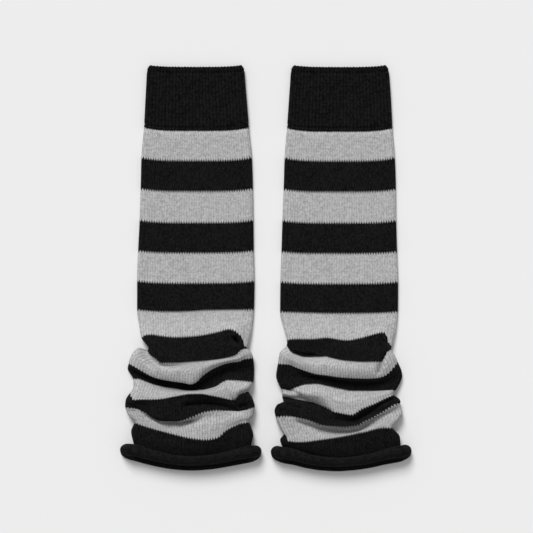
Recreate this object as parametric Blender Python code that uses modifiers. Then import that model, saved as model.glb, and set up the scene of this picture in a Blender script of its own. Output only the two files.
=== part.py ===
# A pair of knitted leg warmers, lying flat and pushed into folds at the ankle end.
# Each one is a tube in three stretches: a ribbed cuff, a striped leg and a hem that curls outwards.
# The frame is +Z up from the surface they lie on, +Y towards the cuffs and +X to the right.
import math

import bmesh
import bpy
import numpy as np

MM = 0.001

# The tables are drawn on a flat sheet, in millimetres across from its left side and down from its top.
SHEET_MIDDLE = 266.17       # across, where the part's middle lies
SHEET_CENTRE = 268.47       # down, where the part's middle lies

JERSEY_WALL = 1.8           # cloth of the leg and the hem
CUFF_WALL = 2.4             # ribbed cloth, in its grooves
RIB_RAISE = 0.7             # how far a rib stands out of its grooves
RIBS_ACROSS = 26            # ribs that show across the front of a cuff
CUFF_BACK_STEPS = 14        # faces across the plain underside of a cuff
SEAM = 0.3                  # clearance between two pieces
LAYER_GAP = 0.7             # air between the front and the back where the tube lies flat

FLAT_STEPS = 12             # faces across the front of a leg between its sides, as on its back
SIDE_STEPS = 3              # faces in each quarter round of its sides
FOLD_STEP = 0.25            # rows of faces in the folds, in stripes
STRIPES = 13.6              # length of the striped leg, in stripes
LAST_FLAT_STRIPE = 6        # the tube lies flat down to this stripe line
STRIPE_DEPTH = 30.2         # knitted length of one stripe

BACK_MIDDLE = JERSEY_WALL / 2                                 # height of the back's middle surface
FLAT_MIDDLE = BACK_MIDDLE + JERSEY_WALL + LAYER_GAP + 0.8     # height of the front's middle surface
SIDE_ROUND_LEAST = 2.4      # smallest round at a folded side
SIDE_ROUND = 0.55           # round at a folded side, as a share of the height there
BACK_VALLEYS = (7.5, 9.6, 12.4)     # where the underside is pinched up, in stripes
BACK_CREASE = 2.6           # how far it is pinched up there
BACK_CREASE_WIDTH = 0.22    # and over how many stripes
DEEP_VALLEY = 9.5           # the valley that goes back under the fold above it, in stripes
TUCK = 8.0                  # and how far it goes
LIFT_START = 12.9           # where the back starts to rise over the curl of the hem, in stripes
FIRST_FOLD = 7              # the stripe line where the folds begin
LAST_LINE = 13              # the last full stripe line
SIDE_REACH = 25.0           # how far in from its sides the underside goes with the front
COLUMN_MARGIN = 4.0         # columns nearer to a side than this are left out

HEM_LENGTH = 10.6           # the curl, measured along the leg in front and behind
HEM_LENGTH_SIDE = 12.6      # and at the sides
HEM_RISE_FRONT = 7.4        # the curl, measured off the cloth in front and behind
HEM_RISE_BACK = 5.4
LEFT_CURL = (14.2, 9.5)     # and off the left and the right side of each leg
RIGHT_CURL = (11.3, 11.4)
HEM_UNDER = 2.0             # how far the leg runs on under the curl
HEM_BACK_SHIFT = 4.0        # how much further down the back of the hem lies
HEM_STEPS = 8
CURL_START = -90.0          # the curl as an angle, from the cloth round to the crease
CURL_END = 178.0

BLACK_YARN = (0.0085, 0.0085, 0.0092, 1.0)
GREY_YARN = (0.41, 0.41, 0.41, 1.0)

# The flat stretch, a row for each stripe line: stripe, left side, right side, down at the sides, sag
# of the line at the middle.
LEFT_FLAT = (
    (0, 144.0, 249.0, 127.2, 3.3),
    (1, 141.3, 252.0, 157.3, 3.1),
    (2, 140.5, 253.0, 189.0, 2.8),
    (3, 139.5, 253.5, 220.0, 2.4),
    (4, 138.0, 253.8, 251.0, 2.3),
    (5, 137.0, 254.6, 280.8, 2.1),
)
RIGHT_FLAT = (
    (0, 287.0, 392.5, 127.8, 3.5),
    (1, 284.5, 395.0, 157.6, 3.2),
    (2, 283.5, 396.0, 189.6, 2.7),
    (3, 282.3, 396.3, 220.4, 2.3),
    (4, 281.3, 397.2, 251.9, 2.0),
    (5, 280.3, 398.2, 281.7, 1.8),
)

# The stripe lines in the folds: stripe, then down at each column across.
LEFT_COLUMNS = (145, 160, 175, 190, 205, 220, 235)
LEFT_LINES = (
    (6, 310.3, 311.1, 311.6, 310.8, 309.9, 309.5, 309.5),
    (7, 336.5, 336.5, 337.5, 337.3, 335.5, 332.2, 333.5),
    (8, 347.0, 360.8, 362.3, 362.0, 360.0, 357.5, 354.3),
    (9, 374.2, 380.5, 383.5, 385.0, 375.5, 366.0, 364.0),
    (10, 381.0, 385.5, 387.5, 388.5, 388.6, 382.7, 380.0),
    (11, 400.0, 399.8, 396.3, 394.2, 395.0, 398.3, 400.5),
    (12, 412.0, 419.5, 420.0, 417.3, 411.2, 410.7, 411.0),
    (13, 427.0, 432.3, 437.0, 439.6, 440.0, 437.0, 427.0),
    (STRIPES, 446.0, 450.5, 453.5, 454.3, 453.5, 451.0, 446.3),
)
RIGHT_COLUMNS = (293, 308, 323, 338, 353, 368, 383)
RIGHT_LINES = (
    (6, 312.4, 313.0, 313.2, 313.1, 312.9, 312.6, 312.7),
    (7, 339.5, 339.3, 338.0, 339.8, 340.0, 336.6, 332.8),
    (8, 353.5, 357.6, 356.8, 359.8, 361.2, 361.7, 359.7),
    (9, 367.2, 372.4, 375.8, 377.7, 378.8, 379.0, 376.3),
    (10, 387.8, 384.0, 384.5, 388.2, 390.3, 390.5, 389.3),
    (11, 398.3, 402.3, 406.8, 413.2, 415.6, 406.2, 400.3),
    (12, 416.8, 419.2, 424.6, 426.5, 426.0, 419.0, 410.4),
    (13, 441.7, 441.7, 439.8, 437.8, 435.0, 431.7, 428.0),
    (STRIPES, 449.3, 453.4, 456.0, 456.0, 453.0, 450.6, 447.5),
)

# The folds, a row for each crest, valley and stripe line: stripe, left side across and down, right
# side across and down, then the height of the front at five places from left to right.
LEFT_FOLDS = (
    (6.0, 137.0, 310.0, 254.0, 310.0, 4.2, 4.2, 4.2, 4.2, 4.2),
    (6.5, 139.5, 327.0, 251.5, 325.0, 5.4, 5.8, 5.8, 5.6, 5.0),
    (7.0, 142.0, 337.5, 246.0, 337.5, 7.0, 7.6, 8.0, 8.2, 6.6),
    (7.5, 144.5, 342.5, 242.0, 343.5, 8.6, 10.0, 10.4, 10.0, 6.4),
    (8.0, 143.0, 346.0, 242.0, 348.3, 9.8, 12.4, 12.0, 11.6, 9.0),
    (8.5, 131.0, 354.5, 250.0, 351.5, 12.6, 16.0, 15.6, 14.0, 12.0),
    (9.0, 128.5, 363.5, 253.3, 357.8, 12.6, 14.0, 14.4, 11.6, 10.4),
    (9.5, 127.6, 369.0, 254.0, 370.0, 6.6, 6.4, 6.4, 7.0, 7.4),
    (10.0, 133.0, 379.0, 253.3, 382.5, 9.6, 10.4, 10.4, 11.0, 12.0),
    (10.5, 132.5, 386.0, 251.0, 388.5, 14.0, 14.6, 14.0, 15.0, 15.0),
    (11.0, 130.0, 391.5, 249.3, 391.8, 15.0, 16.2, 17.0, 16.0, 13.0),
    (11.5, 125.5, 400.0, 253.0, 399.5, 13.6, 14.6, 13.6, 11.8, 10.6),
    (12.0, 125.0, 407.0, 254.8, 407.0, 12.6, 15.0, 14.0, 13.0, 12.6),
    (12.5, 128.5, 415.0, 253.5, 416.5, 10.4, 9.6, 11.0, 13.6, 13.6),
    (13.0, 134.5, 423.5, 249.5, 422.0, 10.8, 11.6, 13.0, 13.6, 11.4),
    (13.3, 132.5, 433.0, 253.0, 435.0, 9.4, 9.8, 10.6, 10.6, 9.6),
    (STRIPES, 134.5, 443.5, 251.5, 444.8, 9.0, 9.0, 9.0, 9.0, 9.0),
)
RIGHT_FOLDS = (
    (6.0, 280.0, 312.0, 398.0, 312.0, 4.2, 4.2, 4.2, 4.2, 4.2),
    (6.5, 283.0, 328.0, 395.0, 326.0, 5.2, 5.6, 5.6, 5.6, 5.0),
    (7.0, 287.0, 339.5, 388.5, 338.5, 7.4, 7.8, 8.0, 8.0, 7.0),
    (7.5, 288.0, 343.0, 388.0, 343.5, 6.6, 7.2, 10.8, 11.0, 9.4),
    (8.0, 287.0, 345.5, 389.3, 348.5, 9.4, 9.6, 11.6, 12.6, 12.0),
    (8.5, 279.5, 353.5, 395.0, 355.5, 12.4, 14.0, 15.6, 16.0, 14.0),
    (9.0, 277.8, 363.6, 398.0, 361.0, 11.2, 13.0, 14.4, 14.8, 13.0),
    (9.5, 276.2, 376.0, 402.0, 374.5, 9.0, 6.6, 6.4, 6.4, 7.4),
    (10.0, 281.5, 387.8, 395.5, 390.3, 9.0, 11.0, 11.0, 10.4, 10.0),
    (10.5, 282.3, 393.0, 392.4, 393.5, 11.0, 14.6, 16.6, 16.0, 13.0),
    (11.0, 282.8, 397.0, 394.0, 396.0, 10.2, 13.0, 16.0, 15.0, 12.0),
    (11.5, 278.0, 405.0, 400.3, 400.5, 11.6, 12.6, 13.4, 12.6, 11.6),
    (12.0, 275.8, 416.8, 399.5, 402.8, 12.0, 14.0, 15.6, 15.4, 13.0),
    (12.5, 277.5, 424.0, 402.5, 414.0, 10.4, 9.6, 9.6, 9.8, 11.6),
    (13.0, 286.0, 434.0, 393.0, 428.0, 11.0, 12.4, 12.6, 13.0, 12.6),
    (13.3, 281.5, 440.5, 399.0, 437.0, 9.4, 10.4, 10.6, 10.6, 10.0),
    (STRIPES, 282.3, 445.8, 400.6, 444.6, 9.0, 9.0, 9.0, 9.0, 9.0),
)

# The cuffs, top and bottom: left side, right side, down at the sides, sag of the edge at the middle.
LEFT_CUFF = ((147.6, 243.6, 64.6, 1.9), (146.0, 245.4, 86.0, 2.4), (144.0, 249.0, 126.9, 3.3))
RIGHT_CUFF = ((291.8, 387.6, 64.4, 2.2), (290.0, 390.0, 86.0, 2.6), (287.0, 392.5, 127.5, 3.5))


def smooth(knots, values, places):
    """A soft curve through the values at the knots (cubic pieces with shared slopes)."""
    knots = np.asarray(knots, float)
    values = np.asarray(values, float)
    slopes = np.gradient(values, knots, axis=0)
    piece = np.clip(np.searchsorted(knots, places, side="right") - 1, 0, len(knots) - 2)
    width = knots[piece + 1] - knots[piece]
    t = (places - knots[piece]) / width
    if values.ndim > 1:
        t = t.reshape(-1, *[1] * (values.ndim - 1))
        width = width.reshape(t.shape)
    start = values[piece] * (1 + 2 * t) * (1 - t) ** 2 + slopes[piece] * width * t * (1 - t) ** 2
    end = values[piece + 1] * t ** 2 * (3 - 2 * t) + slopes[piece + 1] * width * t ** 2 * (t - 1)
    return start + end


def line_down(lines, columns, stripe, left, right, across):
    """How far down a stripe line lies at the places across, through its own sides."""
    row = [line for line in lines if line[0] == stripe][0][1:]
    first, last = left[0] + COLUMN_MARGIN, right[0] - COLUMN_MARGIN
    inner = [(column, down) for column, down in zip(columns, row) if first < column < last]
    knots = [left[0]] + [column for column, down in inner] + [right[0]]
    values = [left[1]] + [down for column, down in inner] + [right[1]]
    return smooth(knots, values, across)


def row_down(leg, row, across, tucked=True):
    """Down at the places across for a row of the folds: a stripe line, or between two of them."""
    stripe, left, right = row[0], row[1:3], row[3:5]
    if stripe in (STRIPES, int(stripe)):
        return line_down(leg["lines"], leg["columns"], stripe, left, right, across)
    above = int(stripe)
    below = above + 1 if above < LAST_LINE else STRIPES
    upper = line_down(leg["lines"], leg["columns"], above, left, right, across)
    lower = line_down(leg["lines"], leg["columns"], below, left, right, across)
    share = (stripe - above) / (below - above)
    down = upper + (lower - upper) * share
    if stripe == DEEP_VALLEY and tucked:
        slack = 1 - np.clip((lower - upper) / STRIPE_DEPTH, 0, 1)
        from_middle = (2 * across - left[0] - right[0]) / (right[0] - left[0])
        down -= TUCK * slack ** 2 * (1 - from_middle ** 4)
    return down


def row_down_behind(leg, row, across):
    """The underside is pushed together evenly between the first fold and the hem, away from its
    sides, where it goes with the front."""
    at_sides = row_down(leg, row, across, tucked=False)
    if row[0] <= FIRST_FOLD:
        return at_sides
    left, right = row[1:3], row[3:5]
    first = line_down(leg["lines"], leg["columns"], FIRST_FOLD, left, right, across)
    last = line_down(leg["lines"], leg["columns"], STRIPES, left, right, across)
    even = first + (last - first) * (row[0] - FIRST_FOLD) / (STRIPES - FIRST_FOLD)
    inwards = np.minimum(across - row[1], row[3] - across)
    share = np.clip(inwards / SIDE_REACH, 0, 1)
    return at_sides + (even - at_sides) * share ** 2 * (3 - 2 * share)


def ring_places(left, right, round_left, round_right):
    """Places across round a ring, with the way out from the cloth there: its front from left to
    right, then its underside back, with a quarter round at each of the four corners."""
    bend = np.arange(SIDE_STEPS) / SIDE_STEPS * math.pi / 2
    flat = np.linspace(left + round_left, right - round_right, FLAT_STEPS + 1)
    into_left = left + round_left * (1 - np.cos(bend))
    into_right = right - round_right * (1 - np.cos(bend))
    across = np.concatenate([into_left, flat, into_right[::-1]])
    sideways = np.concatenate([-np.cos(bend), np.zeros(FLAT_STEPS + 1), np.cos(bend)[::-1]])
    upwards = np.sqrt(1 - sideways ** 2)
    across = np.concatenate([across, across[-2:0:-1]])
    sideways = np.concatenate([sideways, sideways[-2:0:-1]])
    upwards = np.concatenate([upwards, -upwards[-2:0:-1]])
    return across, sideways, upwards


def loop(left, right, down, top, bottom, down_behind=None):
    """One closed ring of the tube, and the outward directions at its points."""
    left, right = left + JERSEY_WALL / 2, right - JERSEY_WALL / 2
    round_left = max(SIDE_ROUND_LEAST, SIDE_ROUND * (top(np.array(left)) - bottom))
    round_right = max(SIDE_ROUND_LEAST, SIDE_ROUND * (top(np.array(right)) - bottom))
    across, sideways, upwards = ring_places(left, right, round_left, round_right)
    side = (top(across) + bottom) / 2
    half = (top(across) - bottom) / 2
    lies = down(across)
    if down_behind:
        lies = np.where(upwards < 0, down_behind(across), lies)
    points = np.stack([across, lies, side + half * upwards], axis=1)
    return points, np.stack([sideways, np.zeros(len(across)), upwards], axis=1)


def sagging(left, right, side, sag):
    """A line that hangs lower at the middle than at the sides."""
    half = (right - left) / 2
    return lambda across: side + sag * (1 - ((across - (left + right) / 2) / half) ** 4)


def level(height):
    return lambda across: np.full(np.shape(across), float(height))


def back_height(stripe):
    """Height of the underside's middle surface: flat, pinched in the valleys, lifted by the hem."""
    hem_lift = HEM_RISE_BACK + JERSEY_WALL / 2 - BACK_MIDDLE
    lift = hem_lift * max((stripe - LIFT_START) / (STRIPES - LIFT_START), 0) ** 1.5
    pinch = sum(math.exp(-((stripe - valley) / BACK_CREASE_WIDTH) ** 2) for valley in BACK_VALLEYS)
    return BACK_MIDDLE + lift + BACK_CREASE * pinch


def fold_loop(leg, row):
    left, right = row[1], row[3]
    marks = np.linspace(leg["columns"][0], leg["columns"][-1], 5)

    def top(across):
        return smooth(marks, row[5:], np.clip(across, marks[0], marks[-1]))

    return loop(left, right, lambda across: row_down(leg, row, across), top, back_height(row[0]),
                lambda across: row_down_behind(leg, row, across))


def leg_rows(leg):
    """Rings of the leg at each stripe line and in each fold, and where each lies in stripes."""
    stripes = []
    rings = []
    for stripe, left, right, side, sag in leg["flat"]:
        seam = SEAM if stripe == 0 else 0
        ring, outwards = loop(left, right, sagging(left, right, side + seam, sag),
                              level(FLAT_MIDDLE), BACK_MIDDLE)
        stripes.append(float(stripe))
        rings.append(ring)
    for row in leg["folds"]:
        ring, outwards = fold_loop(leg, row)
        stripes.append(float(row[0]))
        rings.append(ring)
    return stripes, np.array(rings)


def leg_grid(leg):
    """The leg's rings, with finer rows in the folds along soft curves through the tables' rows."""
    stripes, rings = leg_rows(leg)
    folds = np.arange(LAST_FLAT_STRIPE, STRIPES, FOLD_STEP)
    wanted = np.concatenate([np.arange(LAST_FLAT_STRIPE), folds, [STRIPES]])
    fine = smooth(stripes, rings, wanted)
    fine[..., 2] = np.maximum(fine[..., 2], BACK_MIDDLE)
    under_the_curl = fine[-1] + np.array([0, HEM_UNDER, 0])
    return np.append(wanted, STRIPES), np.concatenate([fine, [under_the_curl]])


def to_part(points):
    """From the sheet, across, down and up, to the part's frame in metres."""
    out = np.empty_like(points)
    out[..., 0] = points[..., 0] - SHEET_MIDDLE
    out[..., 1] = SHEET_CENTRE - points[..., 1]
    out[..., 2] = points[..., 2]
    return out * MM


def grid_faces(rows, around, first=0):
    """Faces of a grid that closes on itself around."""
    faces = []
    for i in range(rows - 1):
        for j in range(around):
            k = (j + 1) % around
            a, b = first + i * around, first + (i + 1) * around
            faces.append((a + j, b + j, b + k, a + k))
    return faces


def new_object(name, points, faces, collection, materials):
    mesh = bpy.data.meshes.new(name)
    mesh.from_pydata([tuple(p) for p in points], [], faces)
    mesh.shade_smooth()
    for material in materials:
        mesh.materials.append(material)
    piece = bpy.data.objects.new(name, mesh)
    collection.objects.link(piece)
    return piece


def add_wall(piece, thickness):
    solidify = piece.modifiers.new("Cloth wall", "SOLIDIFY")
    solidify.thickness = thickness * MM
    solidify.offset = 0.0


def make_leg(side, leg, collection, yarns):
    stripes, rings = leg_grid(leg)
    around = rings.shape[1]
    piece = new_object(side + "_leg", to_part(rings).reshape(-1, 3),
                       grid_faces(len(rings), around), collection, yarns)
    row_of_face = np.repeat(np.arange(len(rings) - 1), around)
    middle = (stripes[row_of_face] + stripes[row_of_face + 1]) / 2
    piece.data.polygons.foreach_set("material_index", (middle.astype(int) % 2).astype(np.int32))
    add_wall(piece, JERSEY_WALL)


def make_hem(side, leg, collection, yarn):
    """The hem: from the leg's last ring, the cloth curls outwards along part of an ellipse."""
    row = leg["folds"][-1]
    ring, outwards = fold_loop(leg, row)
    ring[:, 1] += HEM_UNDER
    sideways, upwards = outwards[:, 0], outwards[:, 2]
    rise_side = np.where(sideways < 0, leg["curl"][0], leg["curl"][1])
    rise_flat = np.where(upwards < 0, HEM_RISE_BACK, HEM_RISE_FRONT)
    rise = np.hypot(rise_side * sideways, rise_flat * upwards)
    length = HEM_LENGTH + (HEM_LENGTH_SIDE - HEM_LENGTH) * sideways ** 2
    centre = (length + JERSEY_WALL) / 2 - HEM_UNDER + HEM_BACK_SHIFT * (1 - upwards) / 2
    angles = np.radians(np.linspace(CURL_START, CURL_END, HEM_STEPS))
    rows = [ring + np.outer(np.full(len(ring), SEAM), (0, 1, 0))]
    for angle in angles:
        along = centre + length / 2 * math.cos(angle)
        step = ring + outwards * (rise / 2 * (1 + math.sin(angle)))[:, None]
        step[:, 1] += along
        step[:, 2] = np.maximum(step[:, 2], BACK_MIDDLE)
        rows.append(step)
    rows = np.array(rows)
    piece = new_object(side + "_hem", to_part(rows).reshape(-1, 3),
                       grid_faces(len(rows), rows.shape[1]), collection, [yarn])
    add_wall(piece, JERSEY_WALL)


def cuff_ring(row, offset, raise_ribs):
    """A ring of the cuff's wall: ribs over the front and the sides, and a plain underside."""
    left, right, side, sag = row
    left, right = left + CUFF_WALL / 2, right - CUFF_WALL / 2
    ribbed = np.linspace(left, right, 2 * RIBS_ACROSS + 1)
    plain = np.linspace(right, left, CUFF_BACK_STEPS + 1)[1:-1]
    across = np.concatenate([ribbed, plain])
    count = np.arange(len(across))
    in_front = count < len(ribbed)
    inwards = np.minimum(across - left, right - across)
    sideways = (1 - np.clip(inwards / SIDE_ROUND_LEAST, 0, 1)) * np.sign(across - (left + right) / 2)
    upwards = np.sqrt(1 - sideways ** 2) * np.where(in_front, 1, -1)
    half = (CUFF_WALL + LAYER_GAP) / 2
    lift = offset + np.where(in_front & (count % 2 == 1), RIB_RAISE * raise_ribs, 0)
    down = sagging(left, right, side, sag)(across)
    height = CUFF_WALL / 2 + half + half * upwards + upwards * lift
    return np.stack([across + sideways * lift, down, height], axis=1)


def make_cuff(side, leg, collection, yarn):
    """A closed wall: an outer grid with the ribs, a plain inner grid and a rim at each end."""
    outer = np.array([cuff_ring(row, CUFF_WALL / 2, 1) for row in leg["cuff"]])
    inner = np.array([cuff_ring(row, -CUFF_WALL / 2, 0) for row in leg["cuff"]])
    rows, around = outer.shape[0], outer.shape[1]
    shells = np.concatenate([outer, inner[::-1]])
    points = to_part(shells).reshape(-1, 3)
    faces = grid_faces(2 * rows, around)
    last = (2 * rows - 1) * around
    faces += [(last + j, j, (j + 1) % around, last + (j + 1) % around) for j in range(around)]
    piece = new_object(side + "_cuff", points, faces, collection, [yarn])
    turn_outwards(piece.data)


def turn_outwards(mesh):
    work = bmesh.new()
    work.from_mesh(mesh)
    bmesh.ops.recalc_face_normals(work, faces=work.faces)
    work.to_mesh(mesh)
    work.free()


def yarn_material(name, colour, roughness):
    material = bpy.data.materials.new(name)
    material.use_nodes = True
    shader = material.node_tree.nodes["Principled BSDF"]
    shader.inputs["Base Color"].default_value = colour
    shader.inputs["Roughness"].default_value = roughness
    shader.inputs["Metallic"].default_value = 0.0
    material.diffuse_color = colour
    return material


def clear_scene():
    for item in list(bpy.data.objects):
        bpy.data.objects.remove(item, do_unlink=True)


def main():
    clear_scene()
    collection = bpy.data.collections.new("leg_warmers")
    bpy.context.scene.collection.children.link(collection)
    grey = yarn_material("grey_yarn", GREY_YARN, 0.9)
    black = yarn_material("black_yarn", BLACK_YARN, 0.9)
    legs = {
        "left": {"flat": LEFT_FLAT, "lines": LEFT_LINES, "columns": LEFT_COLUMNS,
                 "folds": LEFT_FOLDS, "cuff": LEFT_CUFF, "curl": LEFT_CURL},
        "right": {"flat": RIGHT_FLAT, "lines": RIGHT_LINES, "columns": RIGHT_COLUMNS,
                  "folds": RIGHT_FOLDS, "cuff": RIGHT_CUFF, "curl": RIGHT_CURL},
    }
    for side, leg in legs.items():
        make_cuff(side, leg, collection, black)
        make_leg(side, leg, collection, [grey, black])
        make_hem(side, leg, collection, black)


main()
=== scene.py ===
import math

import bpy
import numpy as np
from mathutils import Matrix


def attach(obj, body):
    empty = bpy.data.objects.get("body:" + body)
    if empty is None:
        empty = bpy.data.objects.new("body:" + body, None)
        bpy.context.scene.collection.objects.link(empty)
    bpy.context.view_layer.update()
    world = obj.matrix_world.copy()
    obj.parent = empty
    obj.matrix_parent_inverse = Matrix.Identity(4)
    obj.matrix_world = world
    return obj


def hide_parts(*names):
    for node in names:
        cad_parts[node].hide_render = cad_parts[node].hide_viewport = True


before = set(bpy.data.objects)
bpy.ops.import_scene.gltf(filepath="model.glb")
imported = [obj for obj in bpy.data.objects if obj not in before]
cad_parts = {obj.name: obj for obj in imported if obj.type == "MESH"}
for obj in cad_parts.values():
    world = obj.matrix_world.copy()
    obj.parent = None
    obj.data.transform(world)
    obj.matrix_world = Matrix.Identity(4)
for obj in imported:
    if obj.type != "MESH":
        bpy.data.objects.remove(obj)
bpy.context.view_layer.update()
mm = 0.001

# the camera looks straight down, as far off as a photographer's stand holds it
view = {
    "height": 1.6,          # in metres
    "field": 0.533,         # metres of floor that its square picture takes in
}

# every size below is in millimetres on the sheet that the picture takes in: across from its left side,
# down from its top, and up off it
sheet = {
    "middle": 266.17,       # across, where the part's frame has its origin
    "centre": 268.47,       # down, the same
}

cloth = {
    "jerseyWall": 1.8,      # thickness of the leg and the hem
    "cuffWall": 2.4,        # thickness of the cuff in its grooves
    "seam": 0.3,            # clearance between two pieces
    "layerGap": 0.7,        # air between the front and the back of a cuff
    "flatMiddle": 4.2,      # height of the front's middle surface where the tube lies flat
    "sideRound": 0.42,      # round of a folded side as a share of the height there
    "sideRoundLeast": 2.4,  # and at least this
    "wales": 92,            # columns of stitches round the tube
    "courses": 21,          # rows of stitches in a stripe
    "ridge": 0.16,          # how far each wale stands out
    "stripeDepth": 30.2,    # knitted length of a stripe
    "stripes": 13.6,        # length of the striped leg in stripes
}

folds = {
    "first": 7,             # stripe line where the folds begin
    "tucks": {9.5: 8.0, 12.2: 12.0},    # rows that go back up under the fold above them, and how far
    "sideBend": 6,          # power by which a row bends out to its own sides
    "creaseSteep": 0.5,     # a crease's width on its upper side, as a share of that on its lower side
    "creaseEnd": 0.25,      # power by which creases fade out at the tube's folded sides
    "backValleys": (7.5, 11.4),     # rows, counted in stripes, where the underside is pinched up
    "backCrease": 2.4,      # how far it is pinched up there
    "backCreaseWidth": 0.22,    # in stripes
    "liftStart": 12.9,      # where the back rises over the hem's curl
    "liftBend": 1.5,        # power by which it does
    "sideReach": 25.0,      # how far in from its sides the underside goes with the front
    "rowsInStripe": 22,     # rows of faces in each stripe of the folds
    "rowsInFlatStripe": 6,  # and in each stripe above them
}

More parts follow.
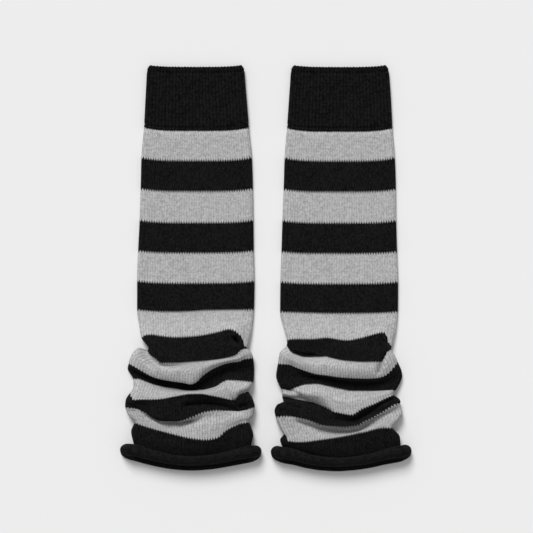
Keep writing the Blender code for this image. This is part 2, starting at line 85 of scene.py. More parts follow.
leftLeg = {
    "side": "left",
    # stripe line, left side, right side, down at the sides, sag at the middle
    "flat": (
        (0, 144.0, 249.0, 127.2, 3.3),
        (1, 141.3, 252.0, 157.3, 3.1),
        (2, 140.5, 253.0, 189.0, 2.8),
        (3, 139.5, 253.5, 220.0, 2.4),
        (4, 138.0, 253.8, 251.0, 2.3),
        (5, 137.0, 254.6, 280.8, 2.1),
    ),
    # each stripe line of the folds as points across and down, between its two sides
    "lines": {
        6: ((145, 310.8), (160, 311.9), (175, 312.1), (190, 311.6), (205, 310.6), (220, 310.3), (245, 310)),
        7: ((146, 335.2), (152, 334.6), (160, 335.7), (175, 337.2), (190, 336.5), (205, 334.6),
            (220, 331.4), (229, 329.2), (233, 330), (238, 333.6), (240.6, 336.4), (242.3, 340.2),
            (243.4, 346.2)),
        8: ((149, 352.4), (152.5, 355.6), (156.5, 358.4), (160, 361.8), (162, 362.8), (172, 363.2),
            (190, 362.4), (205, 361.3), (219.5, 359.6), (230, 357.2), (236.5, 354.6), (239.6, 351),
            (241.5, 349.2)),
        9: ((134.9, 366.4), (143.6, 371.4), (153, 376.2), (163, 379), (174.4, 380.9), (184.7, 382.4),
            (191, 383.6), (196.7, 380.8), (201.5, 375.8), (208, 371), (213, 368), (220.8, 364.6),
            (226, 362.8), (233.6, 361.4), (239, 360.8), (244, 358.6)),
        10: ((138.5, 379.4), (143, 381.1), (151.3, 384.3), (164.2, 387.6), (174.4, 389.1), (190, 391.2),
             (203, 390.5), (210.5, 388.9), (216.7, 386.8), (222.8, 382.8), (228, 380.8), (236, 381.1),
             (246.4, 382)),
        11: ((133.8, 399.8), (140, 399.3), (155, 399.2), (164.2, 398.3), (174.4, 396.3), (182, 394.6),
             (190, 393.5), (200, 393.4), (210.5, 395.1), (220.8, 397.1), (229, 399), (234.5, 400.3),
             (238.7, 395.4), (243.5, 392.6)),
        12: ((131.3, 408.4), (138.5, 410.1), (147, 413.5), (153, 417.6), (160, 420.3), (178, 420.6),
             (190, 417.6), (200, 413.6), (206, 411.8), (215, 410.8), (238, 411.8)),
        13: ((141, 424.7), (148, 426.8), (155, 429), (162, 430.9), (176, 434.6), (190, 437.8),
             (204, 439.3), (211, 438.9), (218, 436.9), (225, 430.8), (232, 426.6), (243, 422.6)),
        13.6: ((146, 447.6), (159, 451), (174, 453.8), (191, 455), (208, 454), (223, 451.6), (237, 448.6)),
    },
    "marks": (145, 167.5, 190, 212.5, 235),     # places across where each row states the front's height
    # stripe, left side across and down, right side across and down, height of the front at the marks
    "folds": (
        (6, 137.0, 310.0, 254.0, 310.0, 4.2, 4.2, 4.2, 4.2, 4.2),
        (6.5, 139.0, 325.0, 252.0, 329.0, 5.6, 6.0, 6.0, 6.0, 5.4),
        (7, 141.4, 338.4, 247.2, 347.8, 10.0, 9.5, 9.5, 9.5, 12.5),
        (7.5, 146.0, 343.6, 246.8, 348.3, 16.5, 14.5, 13.0, 12.5, 14.0),
        (7.8, 148.4, 347.0, 246.6, 348.7, 18.5, 17.0, 15.4, 14.2, 14.4),
        (8, 147.0, 350.6, 246.5, 348.9, 5.5, 17.5, 16.5, 15.0, 14.5),
        (8.2, 138.6, 347.2, 249.0, 350.4, 6.5, 15.0, 17.2, 16.0, 14.0),
        (8.5, 131.0, 355.0, 251.5, 353.0, 13.5, 18.0, 18.5, 17.0, 14.5),
        (9, 128.7, 362.8, 253.2, 357.8, 12.5, 14.2, 14.6, 13.4, 12.0),
        (9.5, 127.6, 368.5, 254.3, 369.5, 3.4, 3.0, 3.0, 3.0, 4.4),
        (10, 133.2, 379.2, 253.4, 382.6, 6.5, 5.0, 4.8, 6.4, 10.5),
        (10.5, 133.2, 386.0, 249.6, 388.8, 14.0, 14.5, 13.5, 15.0, 15.5),
        (11, 129.6, 391.2, 248.6, 391.4, 15.5, 17.5, 17.5, 16.5, 12.0),
        (11.5, 125.6, 399.0, 253.0, 399.0, 12.0, 18.0, 14.0, 9.5, 13.0),
        (12, 125.0, 406.8, 254.9, 406.8, 12.0, 17.0, 16.0, 13.5, 12.0),
        (12.2, 126.0, 410.0, 254.4, 410.0, 10.5, 6.5, 8.5, 12.5, 12.0),
        (12.5, 128.5, 415.0, 253.2, 415.5, 10.5, 10.5, 12.0, 14.0, 13.0),
        (13, 134.5, 422.0, 249.6, 422.0, 10.5, 11.5, 13.0, 13.5, 11.0),
        (13.3, 131.0, 431.0, 253.4, 434.5, 10.0, 11.5, 12.0, 11.5, 10.0),
        (13.6, 133.6, 443.5, 251.0, 445.2, 8.5, 8.5, 8.5, 8.5, 8.5),
    ),
    # width, depth (less than nothing for a ridge), then points across and down
    "creases": (
        (3.6, 9.5, (235.5, 338.5), (238.0, 342.0)),
        (1.8, -1.6, (231.0, 345.0), (241.0, 348.2)),
        (3.6, 4.0, (142.5, 349.5), (148.0, 353.0), (152.5, 356.6), (157.0, 360.5)),
        (1.8, 1.2, (161.5, 363.5), (159.0, 375.0)),
        (2.0, -1.2, (174.0, 393.5), (200.0, 391.5)),
        (4.0, 4.0, (187.0, 404.0), (205.0, 402.5), (222.0, 405.0), (236.0, 409.0)),
        (2.0, -2.0, (237.0, 398.5), (241.5, 395.5), (246.5, 396.5), (249.0, 400.5)),
        (2.6, 5.5, (235.0, 400.0), (237.5, 405.0), (242.0, 408.0)),
        (3.0, 5.0, (241.5, 404.0), (246.0, 404.5)),
        (2.2, 3.0, (127.5, 403.5), (139.0, 408.5)),
        (3.0, 2.5, (148.0, 416.0), (162.0, 421.5), (180.0, 422.5), (190.0, 420.0)),
    ),
    # left side, right side, down at the sides, sag at the middle, from the top edge down
    "cuff": (
        (149.2, 242.2, 66.0, 1.7),
        (147.2, 244.2, 69.0, 1.9),
        (146.2, 245.4, 84.0, 2.3),
        (144.0, 249.0, 126.9, 3.3),
    ),
    # how far the hem's curl stands off the left and the right side, how far below the leg's last row
    # its middle lies, and how much further down it lies behind
    "curl": (13.6, 10.6, 3.8, 4.8),
}

# the same tables as the left one's
rightLeg = {
    "side": "right",
    "flat": (
        (0, 287.0, 392.5, 127.8, 3.5),
        (1, 284.5, 395.0, 157.6, 3.2),
        (2, 283.5, 396.0, 189.6, 2.7),
        (3, 282.3, 396.3, 220.4, 2.3),
        (4, 281.3, 397.2, 251.9, 2.0),
        (5, 280.3, 398.2, 281.7, 1.8),
    ),
    "lines": {
        6: ((290, 312.5), (308, 313.1), (330, 313.7), (350, 313.7), (370, 313.4), (388, 312.7)),
        7: ((295.6, 338.8), (313.6, 338.8), (325.4, 337.6), (339, 339.5), (347, 340.3), (358.5, 338.5),
            (368.8, 335.7), (379, 333), (382.6, 332.4), (385.7, 334.2), (386.6, 338.6), (388.4, 343.6)),
        8: ((289.4, 350.4), (292.6, 353.8), (297.7, 356), (303, 357.7), (310, 358.2), (321, 357.4),
            (325.4, 356.9), (330, 358), (339, 360.1), (346, 361.2), (363.6, 362.4), (380.5, 361.8),
            (383.2, 359.6), (385.6, 355.8), (388, 351.6)),
        9: ((285, 363.8), (290.5, 364.4), (295, 366.4), (306, 370.4), (316, 373.4), (329, 375),
            (339, 376.5), (358.5, 377.7), (369, 377.9), (377, 377.4), (383.6, 375.6), (390.3, 370.6),
            (394.4, 365.6)),
        10: ((288, 389.8), (298, 387), (305, 385.3), (316, 384.7), (326.4, 386.6), (340, 389.6),
             (351, 391.4), (371, 391.6), (391, 390.6)),
        11: ((295.6, 399.2), (306, 401.4), (318.7, 404.2), (329, 408.3), (334, 411.3), (338, 412.1),
             (351.8, 414.4), (355, 413), (361, 409), (374, 403.6), (388, 397)),
        12: ((288, 416.3), (301, 418.4), (311, 420.8), (321, 424.6), (334, 426.6), (345, 427.2),
             (356, 426), (363.6, 422.4), (374, 417), (384, 411.4), (394, 405.2)),
        13: ((286.8, 434.4), (288, 440.8), (301, 441.7), (321, 439.4), (343, 436.1), (363.6, 431.8),
             (384, 427.3)),
        13.6: ((294, 448.4), (307, 452), (322, 454.6), (338, 455.5), (354, 454.4), (370, 451.8),
               (386, 447.8)),
    },
    "marks": (293, 315.5, 338, 360.5, 383),
    "folds": (
        (6, 280.0, 312.0, 398.0, 312.0, 4.2, 4.2, 4.2, 4.2, 4.2),
        (6.5, 283.0, 326.0, 396.4, 328.0, 5.4, 6.0, 6.0, 6.0, 5.4),
        (7, 287.0, 340.0, 391.8, 347.2, 8.5, 8.5, 9.0, 9.5, 9.5),
        (7.5, 287.0, 342.0, 391.4, 348.0, 8.5, 8.0, 12.5, 13.5, 12.0),
        (8, 286.5, 344.0, 391.4, 348.8, 12.0, 10.0, 14.0, 16.5, 15.5),
        (8.5, 279.6, 352.0, 395.0, 354.6, 14.5, 16.0, 18.0, 18.5, 15.5),
        (9, 277.8, 363.6, 397.8, 360.6, 12.0, 14.0, 15.0, 15.0, 13.0),
        (9.5, 276.0, 376.0, 402.3, 374.5, 9.0, 4.0, 3.2, 3.0, 5.5),
        (10, 280.6, 388.0, 395.6, 390.3, 8.5, 11.0, 8.0, 6.0, 8.5),
        (10.5, 282.0, 392.5, 392.6, 393.2, 12.5, 18.0, 18.0, 16.5, 13.0),
        (11, 282.0, 395.8, 393.6, 395.3, 5.5, 10.0, 17.5, 17.5, 13.0),
        (11.2, 283.4, 401.4, 396.8, 397.0, 10.5, 11.5, 15.0, 14.0, 11.5),
        (11.5, 276.4, 405.6, 400.0, 399.8, 14.0, 15.0, 12.5, 9.0, 12.5),
        (11.8, 274.4, 411.0, 400.6, 401.6, 13.5, 16.5, 15.5, 13.0, 12.5),
        (12, 275.6, 416.8, 399.8, 402.8, 13.5, 17.0, 18.0, 17.0, 14.5),
        (12.2, 276.4, 420.0, 401.4, 407.4, 12.5, 8.5, 6.0, 6.5, 9.5),
        (12.5, 278.6, 425.0, 402.7, 414.0, 11.5, 10.5, 9.5, 10.0, 11.5),
        (12.8, 284.0, 431.0, 396.8, 422.4, 11.5, 12.0, 12.0, 12.0, 12.5),
        (13, 285.0, 432.6, 393.0, 427.8, 11.5, 12.5, 12.5, 13.0, 12.5),
        (13.3, 280.0, 439.5, 400.0, 437.0, 10.0, 11.5, 11.5, 11.0, 10.5),
        (13.6, 282.0, 445.8, 400.6, 444.6, 8.5, 8.5, 8.5, 8.5, 8.5),
    ),
    "creases": (
        (3.4, 4.5, (296.0, 352.5), (305.0, 354.5), (314.0, 354.5)),
        (1.8, 3.0, (383.5, 341.0), (390.0, 339.5)),
        (3.2, 6.0, (385.5, 355.5), (382.4, 363.0), (379.5, 371.5)),
        (4.2, 5.0, (281.0, 388.8), (288.0, 390.4), (295.0, 392.6), (301.0, 395.4)),
        (2.6, 2.4, (302.0, 396.4), (312.0, 400.6), (322.0, 405.4), (331.0, 409.8)),
        (2.2, 2.2, (283.0, 403.0), (300.0, 408.0)),
        (2.2, 3.0, (351.5, 417.0), (357.0, 415.5), (375.0, 407.0), (392.0, 398.5)),
        (3.0, 2.0, (300.0, 421.0), (322.0, 428.0), (345.0, 431.0), (358.0, 429.0), (370.0, 421.5)),
    ),
    "cuff": (
        (293.2, 386.4, 66.0, 1.9),
        (291.2, 388.4, 69.0, 2.1),
        (290.0, 390.0, 84.0, 2.6),
        (287.0, 392.5, 127.5, 3.5),
    ),
    "curl": (11.3, 11.0, 4.6, 4.2),
}


# a soft curve through values at knots, with no swing past them: cubic pieces whose shared slope is
# twice the product of the slopes on both sides over their sum, and nothing at a crest or a trough
def softCurve(knots, values, places):
    knots, values = np.asarray(knots, float), np.asarray(values, float)
    wide = (slice(None),) + (None,) * (values.ndim - 1)
    rates = np.diff(values, axis=0) / np.diff(knots)[wide]
    product = rates[:-1] * rates[1:]
    inner = np.where(product > 0, 2 * product / np.where(product > 0, rates[:-1] + rates[1:], 1), 0)
    slopes = np.concatenate([rates[:1], inner, rates[-1:]])
    piece = np.clip(np.searchsorted(knots, places, side="right") - 1, 0, len(knots) - 2)
    width = (knots[piece + 1] - knots[piece])[wide]
    t = (places - knots[piece])[wide] / width
    start = values[piece] * (1 + 2 * t) * (1 - t) ** 2 + slopes[piece] * width * t * (1 - t) ** 2
    end = values[piece + 1] * t ** 2 * (3 - 2 * t) + slopes[piece + 1] * width * t ** 2 * (t - 1)
    return start + end


# how far down a stripe line lies: a soft curve through its two sides and the points between them, where
# fromMiddle runs from -1 at the left side to 1 at the right one
def lineDown(leg, stripe, fromMiddle):
    row = next(row for row in leg["folds"] if row[0] == stripe)
    knots, downs = np.array([row[1:3], *leg["lines"][stripe], row[3:5]]).T
    return softCurve(knots, downs, knots[0] + (fromMiddle + 1) / 2 * (knots[-1] - knots[0]))


# a row of the folds: a stripe line, or evenly between two of them and out to its own sides; a tucked
# row goes back up under the fold above it by its tuck times the square of the cloth's slack there
def rowDown(leg, row, across, tucked=True):
    stripe, left, right = row[0], row[1:3], row[3:5]
    fromMiddle = np.clip((2 * across - left[0] - right[0]) / (right[0] - left[0]), -1, 1)
    if stripe in leg["lines"]:
        return lineDown(leg, stripe, fromMiddle)
    above = max(line for line in leg["lines"] if line < stripe)
    below = min(line for line in leg["lines"] if line > stripe)
    places = np.concatenate([fromMiddle, [-1.0, 1.0]])
    upper, lower = (lineDown(leg, line, places) for line in (above, below))
    down = upper + (lower - upper) * (stripe - above) / (below - above)
    missed = np.where(places < 0, left[1] - down[-2], right[1] - down[-1])
    down += missed * np.abs(places) ** folds["sideBend"]
    if stripe in folds["tucks"] and tucked:
        slack = 1 - np.clip((lower - upper) / cloth["stripeDepth"], 0, 1)
        down -= folds["tucks"][stripe] * slack ** 2 * (1 - places ** 4)
    return down[:-2]


# a row of the underside: pushed together evenly between the folds' first stripe line and the last
# row, and eased over to the front's row towards its sides
def rowDownBehind(leg, row, across):
    atSides = rowDown(leg, row, across, tucked=False)
    if row[0] <= folds["first"]:
        return atSides
    fromMiddle = np.clip((2 * across - row[1] - row[3]) / (row[3] - row[1]), -1, 1)
    first, last = (lineDown(leg, line, fromMiddle) for line in (folds["first"], cloth["stripes"]))
    even = first + (last - first) * (row[0] - folds["first"]) / (cloth["stripes"] - folds["first"])
    share = np.clip(np.minimum(across - row[1], row[3] - across) / folds["sideReach"], 0, 1)
    return atSides + (even - atSides) * share ** 2 * (3 - 2 * share)


# height of the underside's middle surface: half the wall, plus a bell curve at each pinched-up valley,
# plus a lift over the hem's curl that grows as a power of the way there
def backHeight(stripe):
    way = max((stripe - folds["liftStart"]) / (cloth["stripes"] - folds["liftStart"]), 0)
    lift = curl["riseBack"] * way ** folds["liftBend"]
    pinch = sum(math.exp(-((stripe - at) / folds["backCreaseWidth"]) ** 2) for at in folds["backValleys"])
    return cloth["jerseyWall"] / 2 + lift + folds["backCrease"] * pinch


# half a ring from its left side to its right: a quarter round, a level stretch, a quarter round,
# with points at even distances along it; gives places across and the outward direction
def halfRing(left, right, roundLeft, roundRight, heightLeft, heightRight, count):
    turn = np.linspace(0, math.pi / 2, 24)      # finely first, then shared out evenly below
    level = np.linspace(left + roundLeft, right - roundRight, 200)[1:-1]
    across = np.concatenate([left + roundLeft * (1 - np.cos(turn)), level,
                             (right - roundRight * (1 - np.cos(turn)))[::-1]])
    sideways = np.concatenate([-np.cos(turn), np.zeros(len(level)), np.cos(turn)[::-1]])
    rise = np.sqrt(1 - sideways ** 2)
    half = np.interp(across, [left, right], [heightLeft, heightRight])
    steps = np.hypot(np.diff(across), np.diff(rise * half))
    along = np.concatenate([[0], np.cumsum(steps)])
    even = np.linspace(0, along[-1], count)
    sideways = np.interp(even, along, sideways)
    return np.interp(even, along, across), sideways, np.sqrt(1 - sideways ** 2)


# a ring of the tube: its front from left to right, then its underside back, as half rings that stand
# half the tube's height off its middle; it has two points to a wale, or finer times as many
def tubeRing(left, right, down, downBehind, top, bottom, finer=1):
    left, right = left + cloth["jerseyWall"] / 2, right - cloth["jerseyWall"] / 2
    halfLeft, halfRight = (top(np.array([left, right])) - bottom) / 2
    rounds = [max(cloth["sideRoundLeast"], cloth["sideRound"] * 2 * half) for half in (halfLeft, halfRight)]
    count = cloth["wales"] * finer + 1
    across, sideways, upwards = halfRing(left, right, *rounds, halfLeft, halfRight, count)
    half = (top(across) - bottom) / 2
    front = np.stack([across, down(across), bottom + half + half * upwards], axis=1)
    behind = np.stack([across, downBehind(across), bottom + half - half * upwards], axis=1)
    outFront = np.stack([sideways, np.zeros(count), upwards], axis=1)
    outBehind = outFront * (1, 1, -1)
    return np.concatenate([front, behind[-2:0:-1]]), np.concatenate([outFront, outBehind[-2:0:-1]])


# a straight stretch's row hangs lower at its middle than at its sides, by the sag times one minus the
# fourth power of the distance from the middle
def sagging(left, right, side, sag):
    half = (right - left) / 2
    return lambda across: side + sag * (1 - ((across - (left + right) / 2) / half) ** 4)


# a ring of the folds: the height of its front is a soft curve through the row's heights at the marks
def foldRing(leg, row, finer=1):
    marks = leg["marks"]

    def top(across):
        return softCurve(marks, row[5:], np.clip(across, marks[0], marks[-1]))

    return tubeRing(row[1], row[3], lambda across: rowDown(leg, row, across),
                    lambda across: rowDownBehind(leg, row, across), top, backHeight(row[0]), finer)


# presses the creases into the front: a trough steep on its upper side and soft on its lower one,
# depth times e to minus the cube of the distance over the width
def pressCreases(leg, grid):
    front = grid[:, :cloth["wales"] + 1]
    place = front[..., :2]
    edge = np.sin(np.linspace(0, math.pi, front.shape[1])) ** folds["creaseEnd"]
    for width, depth, *points in leg["creases"]:
        deepest = np.zeros(place.shape[:2])
        for start, end in zip(points[:-1], points[1:]):
            start, run = np.array(start), np.subtract(end, start)
            along = np.clip((place - start) @ run / (run @ run), 0, 1)
            off = place - (start + along[..., None] * run)
            above = (off @ (run[1], -run[0])) > 0
            reach = np.where(above, folds["creaseSteep"] * width, width)
            near = np.exp(-(np.hypot(off[..., 0], off[..., 1]) / reach) ** 3)
            deepest = np.maximum(deepest, near)
        front[..., 2] -= depth * deepest * edge


# moves the points on a wale's middle outwards and those between two wales inwards, along the cloth's
# own direction: the cross product of its run down the leg and its run around
def raiseWales(grid, ridge):
    around = np.roll(grid, -1, axis=1) - np.roll(grid, 1, axis=1)
    inwards = np.cross(np.gradient(grid, axis=0), around)
    inwards /= np.linalg.norm(inwards, axis=-1, keepdims=True) + 1e-9   # never by nothing
    grid[:, ::2] += ridge / 2 * inwards[:, ::2]
    grid[:, 1::2] -= ridge / 2 * inwards[:, 1::2]


# the leg's grid: rings through the tables' rows, joined by soft curves along the leg, and one more
# under the hem's curl
def legGrid(leg):
    stripes = [row[0] for row in leg["flat"]] + [row[0] for row in leg["folds"]]
    rings = []
    for stripe, left, right, side, sag in leg["flat"]:
        seam = cloth["seam"] if stripe == 0 else 0      # clear of the cuff
        down = sagging(left, right, side + seam, sag)
        rings.append(tubeRing(left, right, down, down,
                              lambda across: np.full(np.shape(across), cloth["flatMiddle"]),
                              cloth["jerseyWall"] / 2)[0])
    rings += [foldRing(leg, row)[0] for row in leg["folds"]]
    flatEnd, rowsInStripe = leg["folds"][0][0], folds["rowsInStripe"]
    flatRows = np.arange(0, flatEnd, 1 / folds["rowsInFlatStripe"])
    foldRows = np.arange(flatEnd * rowsInStripe, cloth["stripes"] * rowsInStripe) / rowsInStripe
    wanted = np.concatenate([flatRows, foldRows, [cloth["stripes"]]])
    grid = softCurve(stripes, np.array(rings), wanted)
    pressCreases(leg, grid)
    raiseWales(grid, cloth["ridge"])
    grid[..., 2] = np.maximum(grid[..., 2], cloth["jerseyWall"] / 2)    # rests on the sheet
    underCurl = grid[-1] + (0, curl["under"], 0)
    wanted = np.append(wanted, cloth["stripes"] + curl["under"] / cloth["stripeDepth"])
    return wanted, np.concatenate([grid, [underCurl]])


# from the sheet, in millimetres across, down and up, to the part's frame in metres; what stands higher
# looks larger from the camera, so it is drawn in by its height's share of the camera's
def toPart(points):
    across, down, up = np.moveaxis(points, -1, 0)
    placed = np.stack([across - sheet["middle"], sheet["centre"] - down, up], -1)
    placed[..., :2] *= 1 - placed[..., 2:] * mm / view["height"]
    return placed * mm


# a mesh from a grid of rows, each closed on itself around, with its stitches counted in a UV map;
# closedRows joins its last row to its first
def tubeMesh(name, grid, courses, walesRound, closedRows=False):
    rows, around = grid.shape[:2]
    first = np.arange(rows if closedRows else rows - 1)[:, None]
    j = np.arange(around)[None, :]
    below = (first + 1) % rows
    quads = np.stack(np.broadcast_arrays(first * around + j, below * around + j,
                                         below * around + (j + 1) % around,
                                         first * around + (j + 1) % around), -1).reshape(-1, 4)
    mesh = bpy.data.meshes.new(name)
    mesh.vertices.add(rows * around)
    mesh.vertices.foreach_set("co", toPart(grid).reshape(-1))
    mesh.loops.add(quads.size)
    mesh.loops.foreach_set("vertex_index", quads.reshape(-1).astype(np.int32))
    mesh.polygons.add(len(quads))
    mesh.polygons.foreach_set("loop_start", np.arange(0, quads.size, 4, dtype=np.int32))
    mesh.update(calc_edges=True)
    wale = walesRound * np.stack([j, j, j + 1, j + 1], -1) / around
    course = np.stack([courses[first[:, 0]], courses[below[:, 0]],
                       courses[below[:, 0]], courses[first[:, 0]]], -1)[:, None, :]
    shape = (len(first), around, 4)
    uv = np.stack([np.broadcast_to(wale, shape), np.broadcast_to(course, shape)], -1)
    layer = mesh.uv_layers.new(name="knit")
    layer.uv.foreach_set("vector", uv.reshape(-1).astype(np.float32))
    mesh.shade_smooth()
    piece = bpy.data.objects.new(name, mesh)
    bpy.context.scene.collection.objects.link(piece)
    return piece


# thickens a surface to the jersey's wall, half of it to each side
def addWall(piece):
    wall = piece.modifiers.new("cloth wall", "SOLIDIFY")
    wall.thickness = cloth["jerseyWall"] * mm
    wall.offset = 0.0


# the striped leg: its grid with a wall
def makeLeg(leg, finish):
    stripes, grid = legGrid(leg)
    piece = tubeMesh(leg["side"] + "_leg_knit", grid, stripes * cloth["courses"], cloth["wales"])
    addWall(piece)
    piece.data.materials.append(finish)
    return piece


curl = {
    "length": 7.4,          # along the leg at its middle
    "lengthSide": 10.4,     # and at the sides
    "riseFront": 8.4,       # off the cloth in front
    "riseBack": 2.8,        # and behind
    "under": 2.0,           # how far the leg runs on under it
    "centreSide": 3.9,      # middle of the curl below the leg's last row, at the sides
    "backBend": 0.5,        # power by which the curl moves down as it turns to the underside
    "finer": 3,             # times as many points round it as the leg has
    "start": -90.0,         # degrees round the curl
    "end": 200.0,
    "rows": 30,
    "courses": (3, 24),     # rows of stitches from its start to its end
    "lip": 0.5,             # a ridge along the curl's lower edge
    "lipAngle": -8.0,
    "lipWidth": 14.0,
}


# the hem: part of an ellipse out of the leg's last ring, half the rise times one plus the sine of the
# angle outwards, and half the length times its cosine along the leg
def makeHem(leg, finish):
    ring, out = foldRing(leg, leg["folds"][-1], curl["finer"])
    ring[:, 1] += curl["under"]
    sideways, upwards = out[:, 0], out[:, 2]
    left, right = ring[:, 0].min(), ring[:, 0].max()
    fromMiddle = (2 * ring[:, 0] - left - right) / (right - left)
    riseLeft, riseRight, centreMiddle, backShift = leg["curl"]
    riseSide = np.where(sideways < 0, riseLeft, riseRight)
    rise = np.hypot(riseSide * sideways, np.where(upwards < 0, curl["riseBack"], curl["riseFront"]) * upwards)
    length = curl["length"] + (curl["lengthSide"] - curl["length"]) * fromMiddle ** 2
    centre = centreMiddle + (curl["centreSide"] - centreMiddle) * sideways ** 2
    centre = centre + backShift * np.clip(-upwards, 0, 1) ** curl["backBend"]
    angle = np.linspace(curl["start"], curl["end"], curl["rows"])[:, None]
    lip = curl["lip"] * np.exp(-((angle - curl["lipAngle"]) / curl["lipWidth"]) ** 2)
    along = centre + (length / 2 + lip) * np.cos(np.radians(angle))
    off = rise / 2 * (1 + np.sin(np.radians(angle)))
    grid = ring + out * off[..., None]
    grid[..., 1] += along
    grid = np.concatenate([[ring + (0, cloth["seam"], 0)], grid])       # begins clear of the leg
    grid[..., 2] = np.maximum(grid[..., 2], cloth["jerseyWall"] / 2)
    courses = np.concatenate([[0.0], np.linspace(*curl["courses"], curl["rows"])])
    piece = tubeMesh(leg["side"] + "_hem_knit", grid, courses, cloth["wales"])
    addWall(piece)
    piece.data.materials.append(finish)
    return piece


cuffLook = {
    "ribs": 60,             # ribs round the cuff
    "pointsInRib": 8,
    "raise": 0.7,           # how far a rib stands out of its grooves
    "crestBend": 0.7,       # power that makes the ribs broader than the grooves
    "uneven": 0.45,         # share by which one rib stands out less than another
    "unevenSeed": 5,
    "course": 1.4,          # depth of a row of stitches
    "weltDown": 4.4,        # the welt line below the top edge
    "weltDepth": 0.5,
    "weltWidth": 0.7,
    "purlUp": 3.0,          # the line of purl stitches above its lower edge
    "purlDepth": 0.5,
    "purlWidth": 0.8,
    "scallop": 0.7,         # how far each rib stands past the grooves at the top edge
    "scallopReach": 2.0,    # how far down from there the scallops fade
    "rimRound": 0.5,        # height of the rounded top edge as a share of half the wall
    "topRows": (0, 0.7, 1.5, 2.3, 3.2, 4.1, 5.2),   # rows of faces below the top edge
    "rows": 34,             # rows between those at the two edges
    "rowsFrom": 7,          # down from the top edge
    "rowsTo": 5,            # up from the lower edge
    "lowRows": (4, 3, 2, 1, 0),     # rows above the lower edge
    "rimRows": 5,
    # painted shade: dark lines along the welt and purl grooves, and darker grooves between the ribs
    "lines": (3.1, 41.3),   # courses where a dark line runs round it
    "lineSharp": 1.1,       # how much of it fades over one course
    "linePaintedShade": 0.5,        # how much darker it is
    "groovePaintedShade": 0.7,      # and how much darker the grooves are
}


# the cuff: a plain wall with ribs, whose crest is a power of half of one minus the cosine of its
# turn, with a rounded top edge and two lines round it that are bell curves pressed in
def makeCuff(leg, finish):
    half = cloth["cuffWall"] / 2
    pointsInRib = cuffLook["pointsInRib"]
    point = np.arange(cuffLook["ribs"] * pointsInRib)
    crest = (0.5 - 0.5 * np.cos(2 * math.pi * point / pointsInRib)) ** cuffLook["crestBend"]
    lower = np.random.default_rng(cuffLook["unevenSeed"]).random(cuffLook["ribs"])
    crest = crest * (1 - cuffLook["uneven"] * lower[point // pointsInRib])
    table = np.array(leg["cuff"])
    depth = table[-1, 2] - table[0, 2]
    downs = np.concatenate([
        cuffLook["topRows"],
        np.linspace(cuffLook["rowsFrom"], depth - cuffLook["rowsTo"], cuffLook["rows"]),
        depth - np.array(cuffLook["lowRows"]),
    ])
    sizes = softCurve(table[:, 2] - table[0, 2], table, downs)

    # a ring of the cuff: two half rings a layer off its middle, moved out by the wall's offset and,
    # where raiseRibs isn't 0, by the ribs; the underside's ribs go inwards, so that it rests flat
    def ring(size, offset, lift, raiseRibs):
        left, right = size[0] + half, size[1] - half
        layer = (cloth["cuffWall"] + cloth["layerGap"]) / 2
        rounds = cloth["sideRoundLeast"]
        across, sideways, upwards = halfRing(left, right, rounds, rounds, layer, layer, len(point) // 2 + 1)
        across = np.concatenate([across, across[-2:0:-1]])
        sideways = np.concatenate([sideways, sideways[-2:0:-1]])
        upwards = np.concatenate([upwards, -upwards[-2:0:-1]])
        raised = cuffLook["raise"] * crest * raiseRibs
        raised = np.where(upwards < 0, raised - cuffLook["raise"] * raiseRibs, raised)
        out = offset + raised
        down = sagging(*size)(across) - lift
        return np.stack([across + sideways * out, down, half + layer + upwards * (layer + out)], 1)

    outer = []
    for down, size in zip(downs, sizes):
        fromWelt = (down - cuffLook["weltDown"]) / cuffLook["weltWidth"]
        fromPurl = (depth - down - cuffLook["purlUp"]) / cuffLook["purlWidth"]
        welt = cuffLook["weltDepth"] * math.exp(-fromWelt ** 2)
        purl = cuffLook["purlDepth"] * math.exp(-fromPurl ** 2)
        edge = cuffLook["scallop"] * crest * math.exp(-down / cuffLook["scallopReach"])
        outer.append(ring(size, half - welt - purl, edge, 1))
    rim = []
    for angle in np.linspace(0, math.pi, cuffLook["rimRows"] + 2)[1:-1]:
        over = cuffLook["rimRound"] * half * math.sin(angle) + cuffLook["scallop"] * crest
        rim.append(ring(sizes[0], half * math.cos(angle), over, max(math.cos(angle), 0)))
    inner = [ring(size, -half, 0, 0) for size in sizes]
    # up the outside, over the rim and down the inside, and all of it backwards so that it faces outwards
    grid = np.array(outer[::-1] + rim + inner)[::-1]
    courses = np.concatenate([downs[::-1], np.zeros(len(rim)), downs])[::-1] / cuffLook["course"]
    piece = tubeMesh(leg["side"] + "_cuff_knit", grid, courses, cuffLook["ribs"], closedRows=True)
    piece.data.materials.append(finish)
    return piece


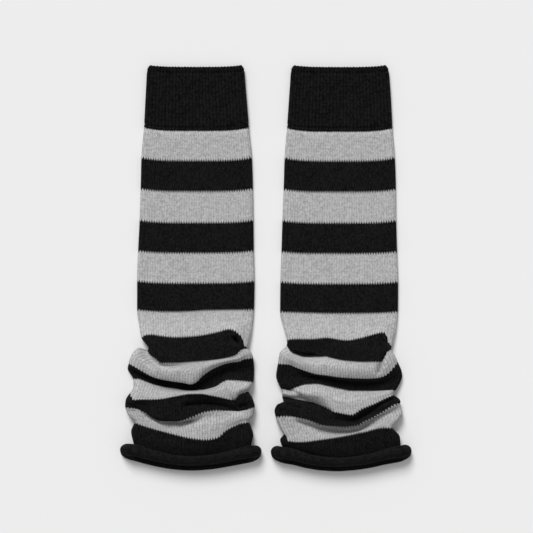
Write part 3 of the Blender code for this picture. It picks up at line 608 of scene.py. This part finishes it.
# a socket of a shader's tree: sums on it add Math nodes
class Wire:
    def __init__(self, tree, socket=None):
        self.tree = tree
        self.socket = socket

    # any node: its type, its settings, then the values or wires of its sockets
    def node(self, kind, settings, values, output=0):
        made = self.tree.nodes.new(kind)
        for name, value in settings.items():
            setattr(made, name, value)
        for name, value in values.items():
            if isinstance(value, Wire):
                self.tree.links.new(value.socket, made.inputs[name])
            else:
                made.inputs[name].default_value = value
        return Wire(self.tree, made.outputs[output])

    def maths(self, operation, *values):
        return self.node("ShaderNodeMath", {"operation": operation}, dict(enumerate(values)))

    def __add__(self, other):
        return self.maths("ADD", self, other)

    def __radd__(self, other):
        return self.maths("ADD", other, self)

    def __sub__(self, other):
        return self.maths("SUBTRACT", self, other)

    def __rsub__(self, other):
        return self.maths("SUBTRACT", other, self)

    def __mul__(self, other):
        return self.maths("MULTIPLY", self, other)

    def __rmul__(self, other):
        return self.maths("MULTIPLY", other, self)

    def __truediv__(self, other):
        return self.maths("DIVIDE", self, other)

    def __pow__(self, other):
        return self.maths("POWER", self, other)

    def fract(self):
        return self.maths("FRACT", self)

    def floor(self):
        return self.maths("FLOOR", self)

    def absolute(self):
        return self.maths("ABSOLUTE", self)

    # held between 0 and 1
    def clamped(self):
        return self.maths("MINIMUM", self.maths("MAXIMUM", self, 0.0), 1.0)


yarn = {
    "black": (0.0075, 0.0075, 0.0082, 1),
    # painted shade: the colour in the gaps between the black strands, darker than the yarn
    "blackGapShade": (0.0010, 0.0010, 0.0012, 1),    # between the strands
    "grey": (0.475, 0.475, 0.475, 1),
    # painted shade in the gaps between the grey strands
    "greyGapShade": (0.16, 0.16, 0.165, 1),
    "blackTones": (1.2, 1.1),   # how much strands and longer streaks differ in tone
    "greyTones": (0.4, 0.6),
    "ribTones": (1.2, 1.2),
    "roughness": 0.95,
    "specular": 0.03,
    "sheen": 0.02,
    "sheenRoughness": 0.6,
    # the gaps' dark is painted shade
    "litShares": (0.9, 0.45),   # how far a stitch's round across and along takes it out of the gaps' dark
    "heightShares": (0.6, 0.4),     # and how far it lifts the bump
    "ribHeight": 0.6,       # the same along a rib
    "strand": 0.2,          # a strand's middle, off the wale's middle, in wales
    "strandRound": 3.6,     # how sharply it rounds off to its sides
    # the gap's depth lowers the bump and deepens the painted shade in the gaps, and in the folds both go
    # deeper still
    "strandGapAndShade": 0.7,       # depth of the gap between wales
    "pushedGapAndShade": 0.3,       # and how much deeper it is where the cloth is pushed together
    "jerseyLean": 1.6,      # how far a strand leans, in courses to a wale
    "ribLean": 0.8,
    "teeth": 4.2,           # slope of the zigzag along a stripe's edge, in courses to a wale
    "streakAcross": 0.22,   # streaks change slower across the wales than along them
    "streakNoise": {"Scale": 1.1, "Detail": 3.0, "Roughness": 0.65},
    "bump": 0.6,
    "bumpDepth": 0.0008,    # in metres
}


# a matt yarn with a faint soft sheen, as yet without its colour
def newFinish(name):
    finish = bpy.data.materials.new(name)
    finish.use_nodes = True
    shader = finish.node_tree.nodes["Principled BSDF"]
    shader.inputs["Roughness"].default_value = yarn["roughness"]
    shader.inputs["Specular IOR Level"].default_value = yarn["specular"]
    shader.inputs["Sheen Weight"].default_value = yarn["sheen"]
    shader.inputs["Sheen Roughness"].default_value = yarn["sheenRoughness"]
    return finish, Wire(finish.node_tree)


# gives a finish its colour, and a bump as high as its stitches
def joinFinish(finish, wires, colour, height):
    shader = finish.node_tree.nodes["Principled BSDF"]
    bump = wires.node("ShaderNodeBump", {}, {"Strength": yarn["bump"], "Distance": yarn["bumpDepth"],
                                             "Height": height})
    wires.tree.links.new(colour.socket, shader.inputs["Base Color"])
    wires.tree.links.new(bump.socket, shader.inputs["Normal"])
    return finish


# stitches: each wale is two strands, half a wale each, that lean out from its middle; along it, a
# stitch's round is one minus the square of the distance from its middle
def stitches(wires, lean):
    place = wires.node("ShaderNodeUVMap", {"uv_map": "knit"}, {})
    wale = wires.node("ShaderNodeSeparateXYZ", {}, {0: place}, 0)
    course = wires.node("ShaderNodeSeparateXYZ", {}, {0: place}, 1)
    side = (wale.fract() - 0.5).absolute()
    leaning = course - (side - 0.25) * lean
    along = 1 - (leaning.fract() * 2 - 1) ** 2
    return wale, course, side, leaning, along


# tones of the yarn: a random one for each strand of a stitch, and longer streaks along the courses
def yarnTones(wires, wale, leaning, tones):
    strands, streaks = tones
    cell = wires.node("ShaderNodeCombineXYZ", {}, {0: (wale * 2).floor(), 1: leaning.floor()})
    strand = wires.node("ShaderNodeTexWhiteNoise", {"noise_dimensions": "2D"}, {"Vector": cell})
    stretched = wires.node("ShaderNodeCombineXYZ", {}, {0: wale * yarn["streakAcross"], 1: leaning})
    streak = wires.node("ShaderNodeTexNoise", {"noise_dimensions": "2D"},
                        {"Vector": stretched, **yarn["streakNoise"]})
    return 1 + (strand - 0.5) * strands + (streak - 0.5) * streaks


# a colour between two, the first where the share is 0; sockets 6 and 7 take them, output 2 gives it
def mixColours(wires, share, first, second):
    return wires.node("ShaderNodeMix", {"data_type": "RGBA"}, {0: share, 6: first, 7: second}, 2)


# a colour times a tone
def tinted(wires, colour, tone):
    grey = wires.node("ShaderNodeCombineXYZ", {}, {0: tone, 1: tone, 2: tone})
    return wires.node("ShaderNodeVectorMath", {"operation": "MULTIPLY"}, {0: colour, 1: grey})


# jersey: darker in the gaps by painted shade, more so in the folds, where a strand's round across is one
# minus the square of the distance from its middle; odd stripes are black where it is striped, and their edges
# run in a zigzag with the strands
def finishJersey(name, striped):
    finish, wires = newFinish(name)
    wale, course, side, leaning, along = stitches(wires, yarn["jerseyLean"])
    # share of the deeper painted shade in the gaps: grows from half a stripe above the folds' first line to
    # half a stripe below it
    pushed = (course / cloth["courses"] - folds["first"] + 0.5).clamped()
    gap = yarn["strandGapAndShade"] + pushed * yarn["pushedGapAndShade"]
    across = 1 - ((side - yarn["strand"]) * yarn["strandRound"]) ** 2 * gap
    height, lit = ((across * shares[0] + along * shares[1]).clamped()
                   for shares in (yarn["heightShares"], yarn["litShares"]))
    black = mixColours(wires, lit, yarn["blackGapShade"], yarn["black"])
    colour = tinted(wires, black, yarnTones(wires, wale, leaning, yarn["blackTones"]))
    if striped:
        grey = mixColours(wires, lit, yarn["greyGapShade"], yarn["grey"])
        grey = tinted(wires, grey, yarnTones(wires, wale, leaning, yarn["greyTones"]))
        teeth = course + (side - 0.25) * yarn["teeth"]
        stripe = (teeth / cloth["courses"]).floor()
        odd = (stripe / 2).fract() * 2
        colour = mixColours(wires, odd, grey, colour)
    return joinFinish(finish, wires, colour, height)


# rib: painted shade, darker by the cube of the distance from a rib's crest, and along the welt and purl lines
# round the cuff
def finishRib(name):
    finish, wires = newFinish(name)
    wale, _, side, leaning, along = stitches(wires, yarn["ribLean"])
    lines = sum((1 - (leaning - line).absolute() * cuffLook["lineSharp"]).clamped()
                for line in cuffLook["lines"])
    lit = (1 - (side * 2) ** 3 * cuffLook["groovePaintedShade"] - lines * cuffLook["linePaintedShade"]).clamped()
    colour = mixColours(wires, lit, yarn["blackGapShade"], yarn["black"])
    colour = tinted(wires, colour, yarnTones(wires, wale, leaning, yarn["ribTones"]))
    return joinFinish(finish, wires, colour, along * yarn["ribHeight"])


# over the middle of the sheet that its picture takes in
def makeCamera():
    camera = bpy.data.objects.new("camera", bpy.data.cameras.new("camera"))
    half = view["field"] / 2
    camera.location = (half - sheet["middle"] * mm, sheet["centre"] * mm - half, view["height"])
    camera.data.lens = camera.data.sensor_width * view["height"] / view["field"]
    bpy.context.scene.collection.objects.link(camera)
    bpy.context.scene.camera = camera


paper = {"reach": 3.0, "colour": (0.86, 0.86, 0.86, 1), "roughness": 0.95}


def makeFloor():
    mesh = bpy.data.meshes.new("floor")
    reach = paper["reach"]
    mesh.from_pydata([(-reach, -reach, 0), (reach, -reach, 0), (reach, reach, 0), (-reach, reach, 0)],
                     [], [(0, 1, 2, 3)])
    floor = bpy.data.objects.new("floor", mesh)
    bpy.context.scene.collection.objects.link(floor)
    paint = bpy.data.materials.new("pale paper")
    paint.use_nodes = True
    shader = paint.node_tree.nodes["Principled BSDF"]
    shader.inputs["Base Color"].default_value = paper["colour"]
    shader.inputs["Roughness"].default_value = paper["roughness"]
    shader.inputs["Specular IOR Level"].default_value = 0.0
    mesh.materials.append(paint)


light = {
    "sun": 2.75,
    "sunAngle": 26.0,       # how wide it is, for soft shadows
    "from": (-0.3, 1.0, 0.94),
    "sky": 0.40,
}


# one broad soft light from beyond the cuffs, and an even pale sky
def makeLight():
    sun = bpy.data.lights.new("window", "SUN")
    sun.energy = light["sun"]
    sun.angle = math.radians(light["sunAngle"])
    lamp = bpy.data.objects.new("window", sun)
    aim = np.array(light["from"]) / np.linalg.norm(light["from"])
    lamp.rotation_euler = (math.acos(aim[2]), 0, math.atan2(aim[1], aim[0]) + math.pi / 2)
    bpy.context.scene.collection.objects.link(lamp)
    world = bpy.data.worlds.new("studio")
    world.use_nodes = True
    world.node_tree.nodes["Background"].inputs["Color"].default_value = (1, 1, 1, 1)
    world.node_tree.nodes["Background"].inputs["Strength"].default_value = light["sky"]
    bpy.context.scene.world = world


bpy.context.scene.view_settings.view_transform = "Standard"
makeCamera()
makeFloor()
makeLight()
print("stage, camera and light are set")

stripedJersey = finishJersey("striped jersey", True)
blackJersey = finishJersey("black jersey", False)
blackRib = finishRib("black rib")
print("yarns are dyed")

# of each piece: what knits it, its finish, its slot, its cut all round the tube in metres, and how it
# is held
pieces = {
    "cuff": (makeCuff, blackRib, "black_rib", (0.2, 0.0625), "laid"),
    "leg": (makeLeg, stripedJersey, "striped_jersey", (0.226, 0.411), "folded"),
    "hem": (makeHem, blackJersey, "black_jersey", (0.30, 0.03), "folded"),
}
for leg in (leftLeg, rightLeg):
    for part, (knit, finish, slot, cut, held) in pieces.items():
        piece = knit(leg, finish)
        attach(piece, "root")
        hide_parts(leg["side"] + "_" + part)
    print(leg["side"], "leg warmer is knitted")
